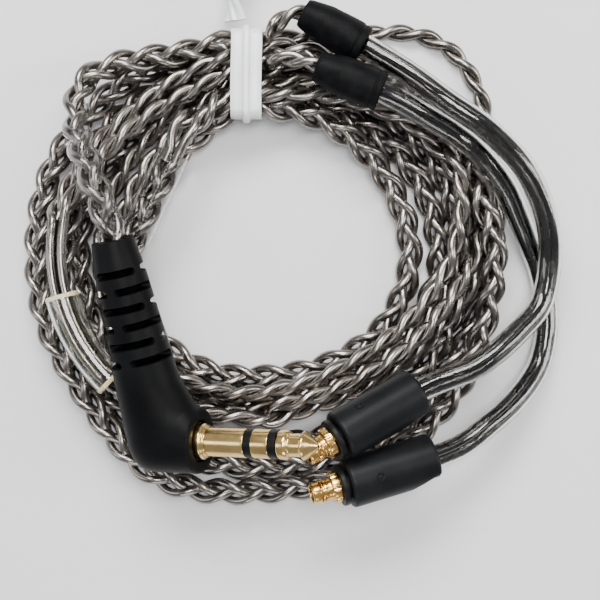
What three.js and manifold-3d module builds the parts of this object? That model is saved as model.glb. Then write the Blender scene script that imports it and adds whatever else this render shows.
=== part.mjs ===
// In ear monitor cable, stored as a flat coil held by a twist tie.
// A four-strand braid runs from an angled 3.5 mm plug to a Y-split, where it divides into two twisted
// pairs. Each pair runs through the chin slider and an ear sleeve into a clear ear tube, which ends in
// a connector housing with a snap-in coaxial contact. Millimetres, +Z up, the coil resting on Z = 0.
import * as THREE from "three";
import { mergeVertices } from "three/addons/utils/BufferGeometryUtils.js";
import Module from "manifold-3d";

const wasm = await Module();
wasm.setup();

// Driving dimensions

const gap = 0.3;                 // clearance between neighbouring solids
const braidRadius = 1.4;         // solid of the four-strand braid
const pairRadius = 1.0;          // solid of a twisted pair
const cordSides = 8;

const coilCentre = [-3.6, -5.8];  // where the coil's centre lies, with the origin below the middle
const coilHeight = 5.8;
const coilStations = 48;
const coilOuterRadii = [29.5, 31.0, 31.6, 29.4, 28.6, 29.8, 32.3, 31.0, 30.0, 28.6, 30.3, 30.9, 29.2, 30.3, 31.0, 29.7];
const coilInnerRadii = [19.0, 19.2, 19.6, 20.4, 19.0, 18.8, 16.4, 14.2, 13.2, 13.9, 14.6, 13.3, 13.0, 13.4, 14.0, 16.4];
const bundleSection = [[0.12, 0], [0.88, 0], [1, 0.25], [1, 0.7], [0.85, 1], [0.15, 1], [0, 0.7], [0, 0.25]];

const tieAngle = 94;             // degrees round the coil
const tieSpread = 12;            // degrees over which the bundle narrows at the tie
const neckLift = 1.7;            // how far the tie holds the bundle off the surface
const neckRise = 1.8;
const tieHole = { y0: 18.4, y1: 29.25, z0: 1.0, z1: 7.9, corner: 2.0 };
const ribbonWidth = 3.8;
const ribbonThickness = 0.35;
const tieWireThickness = 0.45;
const tieWireWidth = 0.7;
const tieX = -3.8;               // left edge of the ribbon

const plugFace = [-7.0, -20.8, 12.5];
const plugTilt = 22;             // degrees the barrel rises towards its tip
const plugRoll = 14;             // degrees the boot rises towards the cable
const elbowAngle = 98;           // degrees between the barrel and the boot
const elbowCentre = -5.3;        // where the two axes cross, behind the face
const bootLength = 24.8;
const barrelRadius = 1.75;
const slotRows = 6;
const slotPitch = 2.12;
const slotWidth = 0.9;
const slotSpan = 98;             // degrees
const slotsPerRow = 3;
const slotTurns = [15, -62];     // degrees about the boot, for every other row
const firstSlot = 21.0;          // distance of the first row from the elbow, along the boot

const housingRadius = 3.05;
const housingLength = 11.2;
const earTubeRadius = 1.45;
const earTubeBore = 1.15;
const earWireRadius = 0.45;
const earWireOffset = 0.55;
const earTubeSteps = 20;
const sleeveLength = 8.4;

const sliderRadius = 2.15;
const sliderBore = 1.75;
const sliderLength = 12.5;
const sliderArc = { x: -3, y: 2, radius: 22, z: 8.25, at: 210.4 };
const splitLength = 11.4;

const degrees = Math.PI / 180;

// Materials

function finish(colour, roughness, metalness, opacity = 1) {
  return new THREE.MeshStandardMaterial({
    color: colour, roughness, metalness, transparent: opacity < 1, opacity,
  });
}

const cableFinish = finish(0x6e6862, 0.35, 0.6);
const rubberFinish = finish(0x17181a, 0.7, 0);
const clearFinish = finish(0xd8d8d2, 0.1, 0, 0.35);
const goldFinish = finish(0xd8b25c, 0.2, 1);
const insulatorFinish = finish(0x101010, 0.4, 0);
const whiteFinish = finish(0xeef0f1, 0.4, 0);
const steelFinish = finish(0xa9abad, 0.35, 1);

// Geometry helpers

const V = (x, y, z) => new THREE.Vector3(x, y, z);

// A closed solid through a list of rings of points, either capped at both ends or joined end to end.
function loft(rings, joined) {
  const sides = rings[0].length;
  const points = rings.flat();
  const faces = [];
  const spans = joined ? rings.length : rings.length - 1;
  for (let i = 0; i < spans; i++) {
    for (let j = 0; j < sides; j++) {
      const a = i * sides + j;
      const b = i * sides + (j + 1) % sides;
      const c = ((i + 1) % rings.length) * sides + (j + 1) % sides;
      const d = ((i + 1) % rings.length) * sides + j;
      faces.push(a, c, b, a, d, c);
    }
  }
  if (!joined) {
    const last = (rings.length - 1) * sides;
    for (let j = 1; j < sides - 1; j++) {
      faces.push(0, j, j + 1);
      faces.push(last, last + j + 1, last + j);
    }
  }
  const geometry = new THREE.BufferGeometry().setFromPoints(points);
  geometry.setIndex(faces);
  geometry.computeVertexNormals();
  return geometry;
}

// A profile of [along, radius] points turned about the X axis.
function turned(profile, segments = 16) {
  const outline = profile.map(([along, radius]) => new THREE.Vector2(radius, along));
  if (profile[0][1] > 0) outline.push(outline[0].clone());
  return new THREE.LatheGeometry(outline, segments).rotateZ(-Math.PI / 2);
}

function circle(radius, sides, x = 0) {
  const shape = new THREE.Shape();
  for (let i = 0; i < sides; i++) {
    const angle = (i + 0.5) * 2 * Math.PI / sides;
    const point = [x + radius * Math.cos(angle), radius * Math.sin(angle)];
    if (i === 0) shape.moveTo(...point);
    else shape.lineTo(...point);
  }
  shape.closePath();
  return shape;
}

function pipe(radius, bore, sides) {
  const shape = circle(radius, sides);
  shape.holes.push(circle(bore, sides));
  return shape;
}

function swept(shape, curve, steps) {
  return new THREE.ExtrudeGeometry(shape, { steps, bevelEnabled: false, extrudePath: curve });
}

function route(points) {
  return new THREE.CatmullRomCurve3(points.map((p) => V(...p)));
}

// The stretch of a curve between two fractions of its length.
function stretch(curve, from, to, count = 12) {
  const points = [];
  for (let i = 0; i <= count; i++) points.push(curve.getPointAt(from + (to - from) * i / count));
  return new THREE.CatmullRomCurve3(points);
}

function solid(geometry) {
  const plain = geometry.clone();
  plain.deleteAttribute("normal");
  plain.deleteAttribute("uv");
  const merged = mergeVertices(plain, 1e-4);
  return new wasm.Manifold(new wasm.Mesh({
    numProp: 3,
    vertProperties: new Float32Array(merged.attributes.position.array),
    triVerts: new Uint32Array(merged.index.array),
  }));
}

function geometryOf(manifold) {
  const mesh = manifold.getMesh();
  const geometry = new THREE.BufferGeometry();
  geometry.setAttribute("position", new THREE.BufferAttribute(mesh.vertProperties, 3));
  geometry.setIndex(new THREE.BufferAttribute(mesh.triVerts, 1));
  geometry.computeVertexNormals();
  return geometry;
}

function piece(name, geometry, material) {
  const mesh = new THREE.Mesh(geometry, material);
  mesh.name = name;
  return mesh;
}

const cable = new THREE.Group();
cable.position.set(coilCentre[0], coilCentre[1], 0);

// Coil: the braid's turns and the pairs' turns, as one ring that narrows and lifts at the tie

function ringCurve(radii) {
  const step = 2 * Math.PI / radii.length;
  const points = radii.map((r, i) => V(r * Math.cos(i * step), r * Math.sin(i * step), 0));
  return new THREE.CatmullRomCurve3(points, true);
}

function coil() {
  const inner = ringCurve(coilInnerRadii);
  const outer = ringCurve(coilOuterRadii);
  const rings = [];
  for (let i = 0; i < coilStations; i++) {
    const t = i / coilStations;
    const from = inner.getPoint(t);
    const to = outer.getPoint(t);
    const neck = Math.exp(-(((t * 360 - tieAngle) / tieSpread) ** 2));
    const low = neckLift * neck;
    const high = coilHeight + neckRise * neck;
    rings.push(bundleSection.map(([across, up]) => {
      return V(0, 0, 0).lerpVectors(from, to, across).setZ(low + (high - low) * up);
    }));
  }
  return loft(rings, true);
}

cable.add(piece("coil_bundle", coil(), cableFinish));

// Twist tie: a plastic ribbon wrapped once round the bundle, its wire core and its twisted ends

function roundedLoop(hole, inset, thickness) {
  function outline(shape, grow) {
    const { y0, y1, z0, z1, corner } = hole;
    const r = corner + grow;
    const [left, right, low, high] = [y0 - grow, y1 + grow, z0 - grow, z1 + grow];
    shape.moveTo(left + r, low);
    shape.lineTo(right - r, low);
    shape.absarc(right - r, low + r, r, -Math.PI / 2, 0, false);
    shape.absarc(right - r, high - r, r, 0, Math.PI / 2, false);
    shape.absarc(left + r, high - r, r, Math.PI / 2, Math.PI, false);
    shape.absarc(left + r, low + r, r, Math.PI, 1.5 * Math.PI, false);
    return shape;
  }
  const shape = outline(new THREE.Shape(), inset + thickness);
  shape.holes.push(outline(new THREE.Path(), inset));
  return shape;
}

// Turns a shape drawn in Y and Z into a band of the given width that starts at x.
function band(shape, width, x) {
  const geometry = new THREE.ExtrudeGeometry(shape, { depth: width, bevelEnabled: false, curveSegments: 5 });
  geometry.applyMatrix4(new THREE.Matrix4().makeBasis(V(0, 1, 0), V(0, 0, 1), V(1, 0, 0)));
  return geometry.translate(x, 0, 0);
}

function pigtail() {
  const path = route([[-3.4, 30.6, 6.0], [-3.5, 34, 5.6], [-3.0, 37.5, 4.8], [-2.8, 41, 4.2]]);
  const rings = [];
  const stations = 12;
  for (let i = 0; i <= stations; i++) {
    const centre = path.getPointAt(i / stations);
    const angle = (35 + 200 * i / stations) * degrees;
    const across = V(Math.cos(angle), 0, Math.sin(angle)).multiplyScalar(1.7);
    const through = V(-Math.sin(angle), 0, Math.cos(angle)).multiplyScalar(0.5);
    const corners = [[-1, -1], [1, -1], [1, 1], [-1, 1]];
    rings.push(corners.map(([a, b]) => centre.clone().addScaledVector(across, a).addScaledVector(through, b)));
  }
  return loft(rings, false);
}

const wireX = tieX + (ribbonWidth - tieWireWidth) / 2;
const wireLoop = roundedLoop(tieHole, ribbonThickness + 0.1, tieWireThickness);
cable.add(piece("tie_ribbon", band(roundedLoop(tieHole, 0, ribbonThickness), ribbonWidth, tieX), whiteFinish));
cable.add(piece("tie_wire", band(wireLoop, tieWireWidth, wireX), steelFinish));
cable.add(piece("tie_pigtail", pigtail(), whiteFinish));

// Plug: all its pieces share a frame with the barrel along X and the body's front face at X = 0

const plug = new THREE.Group();
plug.position.set(...plugFace);
plug.rotation.set(plugRoll * degrees, -plugTilt * degrees, 0, "YXZ");
cable.add(plug);

const bootAxis = V(Math.cos(elbowAngle * degrees), Math.sin(elbowAngle * degrees), 0);
const bootPoint = (along) => V(elbowCentre, 0, 0).addScaledVector(bootAxis, along);

// The outer and the inner edge of the moulding, from the cable's mouth to the front face, each pair
// with half the thickness there.
const bootRails = [
  { outer: [-11.22, 24.2], inner: [-6.27, 24.9], half: 2.5 },
  { outer: [-11.19, 20.4], inner: [-5.25, 21.2], half: 3.0 },
  { outer: [-10.4, 9.8], inner: [-3.1, 10.8], half: 3.7 },
  { outer: [-10.0, 5.0], inner: [-2.5, 8.2], half: 3.8 },
  { outer: [-9.6, 1.2], inner: [-1.9, 6.8], half: 3.85 },
  { outer: [-9.2, -1.6], inner: [-1.4, 5.8], half: 3.9 },
  { outer: [-8.2, -3.2], inner: [-1.0, 5.1], half: 3.9 },
  { outer: [-6.4, -3.85], inner: [-0.7, 4.6], half: 3.9 },
  { outer: [-3.2, -3.9], inner: [-0.35, 4.2], half: 3.9 },
  { outer: [0, -3.9], inner: [0, 3.9], half: 3.9 },
];

function bootBody() {
  const sides = 12;
  return loft(bootRails.map(({ outer, inner, half }) => {
    const ring = [];
    for (let j = 0; j < sides; j++) {
      const angle = j * 2 * Math.PI / sides;
      const across = (1 - Math.cos(angle)) / 2;
      const x = outer[0] + (inner[0] - outer[0]) * across;
      const y = outer[1] + (inner[1] - outer[1]) * across;
      ring.push(V(x, y, half * Math.sin(angle)));
    }
    return ring;
  }), false);
}

// A cylinder on the boot's axis between two distances from the elbow.
function boreOnBoot(radius, from, to) {
  const geometry = new THREE.CylinderGeometry(radius, radius, to - from, 12);
  geometry.translate(0, (from + to) / 2, 0);
  geometry.rotateZ((elbowAngle - 90) * degrees);
  return geometry.translate(elbowCentre, 0, 0);
}

function slot(row, turn) {
  const half = slotSpan / 2 * degrees;
  const shape = new THREE.Shape();
  shape.absarc(0, 0, 5.2, -half, half, false);
  shape.absarc(0, 0, 1.5, half, -half, true);
  shape.closePath();
  const geometry = new THREE.ExtrudeGeometry(shape, { depth: slotWidth, bevelEnabled: false, curveSegments: 4 });
  const rowTurn = slotTurns[row % 2];
  geometry.rotateZ((turn * 360 / slotsPerRow + rowTurn) * degrees);
  geometry.applyMatrix4(new THREE.Matrix4().makeBasis(V(0, 0, 1), V(1, 0, 0), V(0, 1, 0)));
  geometry.translate(0, firstSlot - row * slotPitch - slotWidth / 2, 0);
  geometry.rotateZ((elbowAngle - 90) * degrees);
  return geometry.translate(elbowCentre, 0, 0);
}

function boot() {
  let body = solid(bootBody());
  body = body.subtract(solid(boreOnBoot(1.75, 4, bootLength + 2)));
  body = body.subtract(solid(turned([[-5.0, 0], [-5.0, 2.5], [1, 2.5], [1, 0]])));
  for (let row = 0; row < slotRows; row++) {
    for (let turn = 0; turn < slotsPerRow; turn++) body = body.subtract(solid(slot(row, turn)));
  }
  return geometryOf(body);
}

plug.add(piece("plug_boot", boot(), rubberFinish));
plug.add(piece("plug_inner_mould", turned([[-4.7, 1.5], [-4.7, 2.2], [-0.2, 2.2], [-0.2, 1.5]]), insulatorFinish));
plug.add(piece("plug_sleeve_contact", turned([
  [-4.4, 1.0], [-4.4, 1.3], [0.2, 1.3], [0.2, 2.2], [0.9, 2.2], [0.9, barrelRadius], [6.0, barrelRadius], [6.0, 1.0],
]), goldFinish));
plug.add(piece("plug_lower_insulator", turned([
  [-4.2, 0.72], [-4.2, 0.93], [6.06, 0.93], [6.06, 1.7], [6.94, 1.7], [6.94, 0.72],
]), insulatorFinish));
plug.add(piece("plug_ring_contact", turned([
  [-4.8, 0.48], [-4.8, 0.66], [7.0, 0.66], [7.0, barrelRadius], [9.1, barrelRadius], [9.1, 0.48],
]), goldFinish));
plug.add(piece("plug_upper_insulator", turned([[9.16, 0.4], [9.16, 1.7], [10.04, 1.7], [10.04, 0.4]]), insulatorFinish));
plug.add(piece("plug_tip_contact", turned([
  [12.0, 0], [12.0, 0.42], [10.1, 0.42], [10.1, 1.6], [10.3, barrelRadius], [11.2, barrelRadius], [11.5, 1.3],
  [13.3, 1.72], [14.7, 0.6], [14.9, 0.35], [14.9, 0],
]), goldFinish));
plug.add(piece("plug_centre_rod", turned([[-5.2 + gap, 0], [-5.2 + gap, 0.3], [11.7, 0.3], [11.7, 0]], 12), steelFinish));

// Braid leaving the bundle, over the coil and into the boot, with the clear shrink tube at the boot

plug.updateMatrix();
const inCable = (point) => point.applyMatrix4(plug.matrix).toArray();
const plugRoute = route([
  [-20.4, 24.2, 7.6], [-22.3, 21.0, 8.3], [-22.4, 17.8, 10.2], [-21.5, 14.8, 12.5], [-20.2, 11.8, 14.3],
  [-19.0, 8.8, 15.2], inCable(bootPoint(bootLength + 3)), inCable(bootPoint(bootLength - 2)),
  inCable(bootPoint(bootLength - 8)), inCable(bootPoint(6)),
]);
cable.add(piece("plug_lead", swept(circle(braidRadius, cordSides), plugRoute, 16), cableFinish));
cable.add(piece("plug_shrink", swept(pipe(1.95, 1.65, 10), stretch(plugRoute, 0.19, 0.49), 8), clearFinish));

// Y-split: clear shrink tube over the place where the braid divides

const splitFrom = V(-15.5, 3.5, 8.05);
const splitTo = V(-10.7, 13.8, 8.05);
const splitRun = splitTo.clone().sub(splitFrom).normalize();
const splitMiddle = splitFrom.clone().lerp(splitTo, 0.5);
const alongSplit = (s) => splitMiddle.clone().addScaledVector(splitRun, s);
const splitTube = new THREE.LineCurve3(alongSplit(-splitLength / 2), alongSplit(splitLength / 2));
const splitLead = new THREE.LineCurve3(alongSplit(-splitLength / 2 - 2), alongSplit(splitLength / 2 + 2));
cable.add(piece("y_split_sleeve", swept(pipe(1.9, 1.6, 12), splitTube, 2), clearFinish));
cable.add(piece("y_split_lead", swept(circle(1.3, cordSides), splitLead, 3), cableFinish));

// Chin slider: a loose clear tube over both pairs, free to run along their arc

function sliderAt(angle) {
  const { x, y, radius, z } = sliderArc;
  return [x + radius * Math.cos(angle * degrees), y + radius * Math.sin(angle * degrees), z];
}

function arcRoute(from, to, count) {
  const points = [];
  for (let i = 0; i <= count; i++) points.push(sliderAt(from + (to - from) * i / count));
  return route(points);
}

const sliderHalf = sliderLength / 2 / sliderArc.radius / degrees;
const sliderRoute = arcRoute(sliderArc.at - sliderHalf, sliderArc.at + sliderHalf, 6);
cable.add(piece("chin_slider", swept(pipe(sliderRadius, sliderBore, 12), sliderRoute, 6), clearFinish));
cable.add(piece("slider_lead", swept(circle(1.4, cordSides), arcRoute(165, 230, 10), 10), cableFinish));

// One side of the cable above the bundle: branch, ear sleeve, ear tube with its two wires, and the
// connector. The connector's frame has X along its axis towards the contact, the front face at X = 0.

function connector(side, front, heading, tilt, roll, mark) {
  const group = new THREE.Group();
  group.position.set(...front);
  group.rotation.set(roll * degrees, -tilt * degrees, heading * degrees, "ZYX");

  let housing = solid(turned([
    [-housingLength, 1.85], [-housingLength, 2.8], [-housingLength + 0.25, housingRadius],
    [-0.25, housingRadius], [0, 2.8], [0, 1.75], [-7.8, 1.75], [-7.8, 1.85],
  ], 24));
  const bevel = new THREE.BoxGeometry(12, 4, 12).translate(-6, 2, 0).rotateZ(18 * degrees);
  bevel.translate(-housingLength + 4.0, housingRadius, 0);
  housing = housing.subtract(solid(bevel));
  for (const [along, angle] of mark) {
    const dot = new THREE.CylinderGeometry(0.42, 0.5, 0.5, 12).translate(0, housingRadius, 0);
    dot.rotateX(angle * degrees);
    housing = housing.add(solid(dot.translate(along, 0, 0)));
  }
  group.add(piece(`housing_${side}`, geometryOf(housing), rubberFinish));
  group.add(piece(`collar_${side}`, turned([
    [-3.0, 1.5], [-3.0, 1.65], [0.3, 1.65], [0.3, 2.5], [1.05, 2.5], [1.05, 1.5],
  ]), rubberFinish));
  group.add(piece(`contact_${side}`, turned([
    [-2.6, 0.98], [-2.6, 1.4], [1.15, 1.4], [1.15, 1.9], [2.0, 1.9], [2.0, 1.35], [3.0, 1.35], [3.0, 1.12],
    [3.5, 1.12], [3.5, 1.35], [4.35, 1.35], [4.5, 1.2], [4.5, 0.98],
  ]), goldFinish));
  const ring = new THREE.Shape();
  ring.absarc(0, 0, 1.5, 25 * degrees, 335 * degrees, false);
  ring.absarc(0, 0, 1.2, 335 * degrees, 25 * degrees, true);
  ring.closePath();
  const snap = new THREE.ExtrudeGeometry(ring, { depth: 0.36, bevelEnabled: false, curveSegments: 10 });
  group.add(piece(`snap_ring_${side}`, snap.rotateY(Math.PI / 2).translate(3.07, 0, 0), goldFinish));
  group.add(piece(`insulator_${side}`, turned([[-2.4, 0.38], [-2.4, 0.88], [3.4, 0.88], [3.4, 0.38]], 16), whiteFinish));
  group.add(piece(`pin_${side}`, turned([[-3.2, 0], [-3.2, 0.28], [3.9, 0.28], [4.1, 0.12], [4.1, 0]], 12), goldFinish));
  return group;
}

function earSleeve(side, from, to) {
  const run = V(...to).sub(V(...from)).normalize();
  const mesh = piece(`ear_sleeve_${side}`, turned([
    [0, 1.3], [0, 1.55], [3.2, 2.4], [sleeveLength - 0.25, 2.5], [sleeveLength, 2.3], [sleeveLength, 1.8],
    [5.0, 1.8], [5.0, 1.3],
  ]), rubberFinish);
  mesh.position.set(...from);
  mesh.quaternion.setFromUnitVectors(V(1, 0, 0), run);
  return mesh;
}

function earTube(side, points) {
  const curve = route(points);
  const wires = stretch(curve, 0.004, 0.996, 40);
  cable.add(piece(`ear_tube_${side}`, swept(pipe(earTubeRadius, earTubeBore, 8), curve, earTubeSteps), clearFinish));
  for (const [name, offset] of [["a", -earWireOffset], ["b", earWireOffset]]) {
    const section = circle(earWireRadius, 6, offset);
    cable.add(piece(`ear_wire_${side}_${name}`, swept(section, wires, earTubeSteps), cableFinish));
  }
}

const earSides = {
  right: {
    branch: [[1.2, 28.9, 8.5], [2.6, 30.4, 8.3], [4.0, 31.0, 8.2], [5.6, 30.7, 8.2], [7.2, 29.8, 8.2]],
    sleeve: [[5.1, 31.0, 8.2], [11.8, 27.3, 8.2]],
    tube: [
      [10.0, 28.3, 8.2], [12.4, 27.0, 8.2], [17.7, 23.5, 9.5], [22.5, 19.9, 10.1], [26.9, 16.9, 10.0],
      [31.2, 12.9, 9.2], [33.8, 8.9, 7.8], [35.3, 4.6, 6.5], [35.6, 0.9, 5.5], [35.1, -2.8, 5.2],
      [34.0, -5.3, 5.7], [31.6, -7.8, 6.9], [28.9, -10.2, 8.1], [25.8, -12.3, 8.8], [22.4, -13.6, 9.2],
      [19.6, -14.7, 9.8], [17.6, -15.75, 10.3],
    ],
    front: [9.3, -20.2, 13.1], heading: 208.2, tilt: 16, roll: -20, mark: [[-3.4, 156]],
  },
  left: {
    branch: [[1.0, 25.3, 8.9], [3.2, 25.3, 9.3], [5.2, 24.7, 10.1], [7.4, 23.9, 10.5], [9.0, 23.2, 10.5]],
    sleeve: [[6.7, 24.1, 10.5], [14.6, 21.0, 10.5]],
    tube: [
      [12.6, 21.8, 10.5], [15.0, 20.8, 10.3], [19.6, 18.6, 8.4], [23.3, 16.5, 7.7], [26.6, 13.9, 7.4],
      [29.9, 10.1, 6.0], [32.0, 6.2, 4.2], [33.5, 3.0, 2.8], [34.9, -0.2, 1.9], [35.7, -4.0, 1.8],
      [35.8, -7.8, 1.8], [35.0, -11.6, 2.2], [33.4, -14.3, 3.4], [31.0, -16.9, 5.0], [28.1, -19.2, 6.6],
      [24.8, -21.6, 7.7], [21.6, -22.92, 8.66], [19.0, -23.63, 9.27],
    ],
    front: [10.3, -26.0, 11.2], heading: 195.2, tilt: 12, roll: 0, mark: [[-3.6, 90]],
  },
};

for (const [side, s] of Object.entries(earSides)) {
  cable.add(piece(`branch_${side}`, swept(circle(pairRadius, cordSides), route(s.branch), 6), cableFinish));
  cable.add(earSleeve(side, s.sleeve[0], s.sleeve[1]));
  earTube(side, s.tube);
  cable.add(connector(side, s.front, s.heading, s.tilt, s.roll, s.mark));
}

export default cable;
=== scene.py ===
"""In ear monitor cable, stored as a flat coil under a white twist tie.

The sections follow the cable from the plug to the ears: the coil with its braid and its two twisted pairs,
the tie, the plug, the clear sleeves, the chin slider, the ear tubes and the two connectors. Sizes inside a
section are in millimetres, measured from the middle of the coil, and `placed` turns them into metres.
"""
import bmesh
import bpy
import math
import numpy as np
from mathutils import Matrix, Vector


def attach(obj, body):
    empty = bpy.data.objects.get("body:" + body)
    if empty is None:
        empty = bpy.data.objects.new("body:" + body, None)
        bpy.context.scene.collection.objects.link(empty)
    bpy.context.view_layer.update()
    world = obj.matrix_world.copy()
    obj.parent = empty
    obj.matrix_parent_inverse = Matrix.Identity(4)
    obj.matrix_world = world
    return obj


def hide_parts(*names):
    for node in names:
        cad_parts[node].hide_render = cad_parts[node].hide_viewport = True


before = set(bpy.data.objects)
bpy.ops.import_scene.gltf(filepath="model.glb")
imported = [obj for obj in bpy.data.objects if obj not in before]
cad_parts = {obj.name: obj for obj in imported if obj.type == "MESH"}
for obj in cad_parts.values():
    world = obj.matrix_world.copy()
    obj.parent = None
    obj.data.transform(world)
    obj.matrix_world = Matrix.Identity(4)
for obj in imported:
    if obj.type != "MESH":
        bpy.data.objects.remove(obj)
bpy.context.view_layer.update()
scene = bpy.context.scene

# ---- Floor, light and camera ------------------------------------------------------------------------
# The cable lies on a pale matt table and is seen from straight above, a hand's length away.
coil_middle = np.array([-3.6, -5.8, 0.0])


def placed(points):
    """Points in millimetres from the coil's middle, as metres in the row frame."""
    return (np.asarray(points, float) + coil_middle) / 1000.0


def panel(name, size, place, aim, power, tint):
    """A rectangular soft light at `place`, turned to face `aim`."""
    lamp = bpy.data.lights.new(name, "AREA")
    lamp.shape = "RECTANGLE"
    lamp.size, lamp.size_y = size
    lamp.energy = power
    lamp.color = tint
    holder = bpy.data.objects.new(name, lamp)
    scene.collection.objects.link(holder)
    holder.location = place
    holder.rotation_euler = (Vector(aim) - Vector(place)).to_track_quat("-Z", "Y").to_euler()
    return holder


camera = bpy.data.objects.new("camera", bpy.data.cameras.new("camera"))
camera.data.lens = 84.62
camera.location = (*placed([4.695, -4.024, 0])[:2], 0.180)
scene.collection.objects.link(camera)
scene.camera = camera

half = 0.6
table = bpy.data.meshes.new("table")
corners = [(-half, -half, 0), (half, -half, 0), (half, half, 0), (-half, half, 0)]
table.from_pydata(corners, [], [(0, 1, 2, 3)])
table_top = bpy.data.objects.new("table", table)
scene.collection.objects.link(table_top)
table_paint = bpy.data.materials.new("table_paint")
table_paint.use_nodes = True
shade = table_paint.node_tree.nodes["Principled BSDF"]
shade.inputs["Base Color"].default_value = (0.585, 0.59, 0.6, 1)
shade.inputs["Roughness"].default_value = 0.55
table.materials.append(table_paint)

panel("window", (0.26, 0.14), (-0.04, 0.24, 0.30), (0, 0, 0), 2.9, (1.0, 0.99, 0.97))
panel("overhead", (0.10, 0.16), (0.03, 0.03, 0.42), (0, 0, 0), 1.5, (1.0, 0.985, 0.96))
panel("lamp_right", (0.10, 0.22), (0.30, 0.02, 0.20), (0, 0, 0), 0.9, (1.0, 0.98, 0.95))
panel("lamp_left", (0.10, 0.22), (-0.30, -0.04, 0.18), (0, 0, 0), 0.3, (0.96, 0.98, 1.0))
panel("front", (0.24, 0.08), (0.02, -0.30, 0.16), (0, 0, 0), 0.4, (1.0, 1.0, 1.0))
sky = bpy.data.worlds.new("sky")
sky.use_nodes = True
sky.node_tree.nodes["Background"].inputs["Color"].default_value = (0.95, 0.96, 1.0, 1)
sky.node_tree.nodes["Background"].inputs["Strength"].default_value = 0.38
scene.world = sky

# ---- The cable's three cords ------------------------------------------------------------------------
# A round braid of four strands leaves the plug, makes five turns and enters the Y-split. Two twisted
# pairs leave the split, make two turns more and end in the ear sleeves. The turns lie on each other.
spacing = 1.6

# Distance of each turn from the coil's middle, every 30 degrees clockwise from the tie.
braid_turns = [
    [26.8, 27.6, 28.8, 28.6, 28.8, 28.6, 27.9, 29.6, 27.2, 28.2, 29.4, 29.0],
    [27.2, 28.4, 29.4, 28.2, 26.9, 26.6, 25.2, 25.8, 25.4, 25.2, 25.0, 26.8],
    [23.8, 24.8, 25.8, 25.8, 24.8, 23.6, 22.8, 22.8, 22.6, 23.6, 24.3, 23.6],
    [21.8, 22.2, 22.9, 23.2, 20.4, 17.8, 17.0, 17.2, 18.2, 18.0, 17.2, 18.2],
    [20.4, 20.3, 19.4, 19.0, 17.4, 15.0, 13.9, 15.2, 16.4],
]
pair_turns = {
    "right": [
        [20.8, 23.6, 27.4, 25.4, 20.4, 17.4, 17.0, 18.2, 20.0, 20.6, 21.2, 22.2],
        [27.0, 31.0, 33.9, 28.9, 22.6, 19.0, 18.4, 20.0],
    ],
    "left": [
        [22.8, 25.2, 28.9, 24.1, 18.8, 15.9, 15.7, 17.0, 18.4, 18.6, 19.2, 20.2],
        [25.4, 29.6, 32.9, 27.2, 21.2, 17.8, 17.2, 19.4],
    ],
}


def round_coil(turned, radius, height):
    """The point at that radius and height, `turned` degrees clockwise from the tie at 94 degrees."""
    angle = np.radians(94.0 - np.asarray(turned, float))
    return np.stack([radius * np.cos(angle), radius * np.sin(angle), height + 0 * angle], -1)


def smooth_line(knots, step):
    """Catmull-Rom curve through the knots, cut into equal steps."""
    k = np.asarray(knots, float)
    k = np.vstack([2 * k[0] - k[1], k, 2 * k[-1] - k[-2]])
    t = np.linspace(0, 1, 24, endpoint=False)[:, None]
    a, b, c, d = (k[i:len(k) - 3 + i, None, :] for i in range(4))
    curve = 0.5 * (2 * b + (c - a) * t + (2 * a - 5 * b + 4 * c - d) * t**2 + (3 * b - a - 3 * c + d) * t**3)
    return even(np.vstack([curve.reshape(-1, 3), k[-2]]), step)


def even(line, step):
    """The same line, cut into equal steps of about that length."""
    along = np.concatenate([[0], np.cumsum(np.linalg.norm(np.diff(line, axis=0), axis=1))])
    s = np.linspace(0, along[-1], max(2, int(round(along[-1] / step)) + 1))
    return np.stack([np.interp(s, along, line[:, i]) for i in range(3)], -1)


plug_face = np.array([-7.0, -20.8, 12.5])
plug_turn = np.array(Matrix.Rotation(math.radians(-22), 3, "Y") @ Matrix.Rotation(math.radians(14), 3, "X"))
boot_axis = np.array([math.cos(math.radians(98)), math.sin(math.radians(98)), 0.0])


def on_plug(points):
    """Points of the plug's own frame, with the barrel along X from its face, in the coil's frame."""
    return np.asarray(points, float) @ plug_turn.T + plug_face


def on_boot(along):
    """The point that far up the boot's axis from the elbow."""
    return on_plug(np.array([-5.3, 0, 0]) + boot_axis * along)


split_low = np.array([-15.5, 3.5, 8.05])
split_high = np.array([-10.7, 13.8, 8.05])
split_run = (split_high - split_low) / np.linalg.norm(split_high - split_low)
split_middle = (split_low + split_high) / 2

lead_knots = [
    on_boot(6), on_boot(16.8), on_boot(22.8), on_boot(27.8), [-19.0, 8.8, 15.2], [-20.2, 11.8, 14.3],
    [-21.5, 14.8, 12.5], [-22.4, 17.8, 10.2], [-22.3, 21.0, 8.3], [-20.4, 24.2, 7.6], [-16.4, 25.6, 7.0],
]
turn_knots = []
for number, radii in enumerate(braid_turns):
    height = [5.6, 4.5, 1.5, 1.5, 4.4][number]
    turn_knots += [round_coil(360 * number + 30 * i, r, height) for i, r in enumerate(radii)]
split_knots = [
    [-16.3, -4.8, 6.4], [-17.1, -0.6, 7.7], split_low, split_middle, split_middle + split_run * 4.6,
]
braid_line = smooth_line(lead_knots + turn_knots + split_knots, spacing)


def slider_arc(angles):
    """Points on the arc that the chin slider runs along."""
    a = np.radians(np.asarray(angles, float))
    return np.stack([-3 + 22 * np.cos(a), 2 + 22 * np.sin(a), 8.25 + 0 * a], -1)


def beside(line, offset):
    """A level line moved that far to its left."""
    run = np.gradient(line, axis=0)
    side = np.stack([-run[:, 1], run[:, 0], 0 * run[:, 2]], -1)
    return line + offset * side / np.linalg.norm(side, axis=1, keepdims=True)


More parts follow.
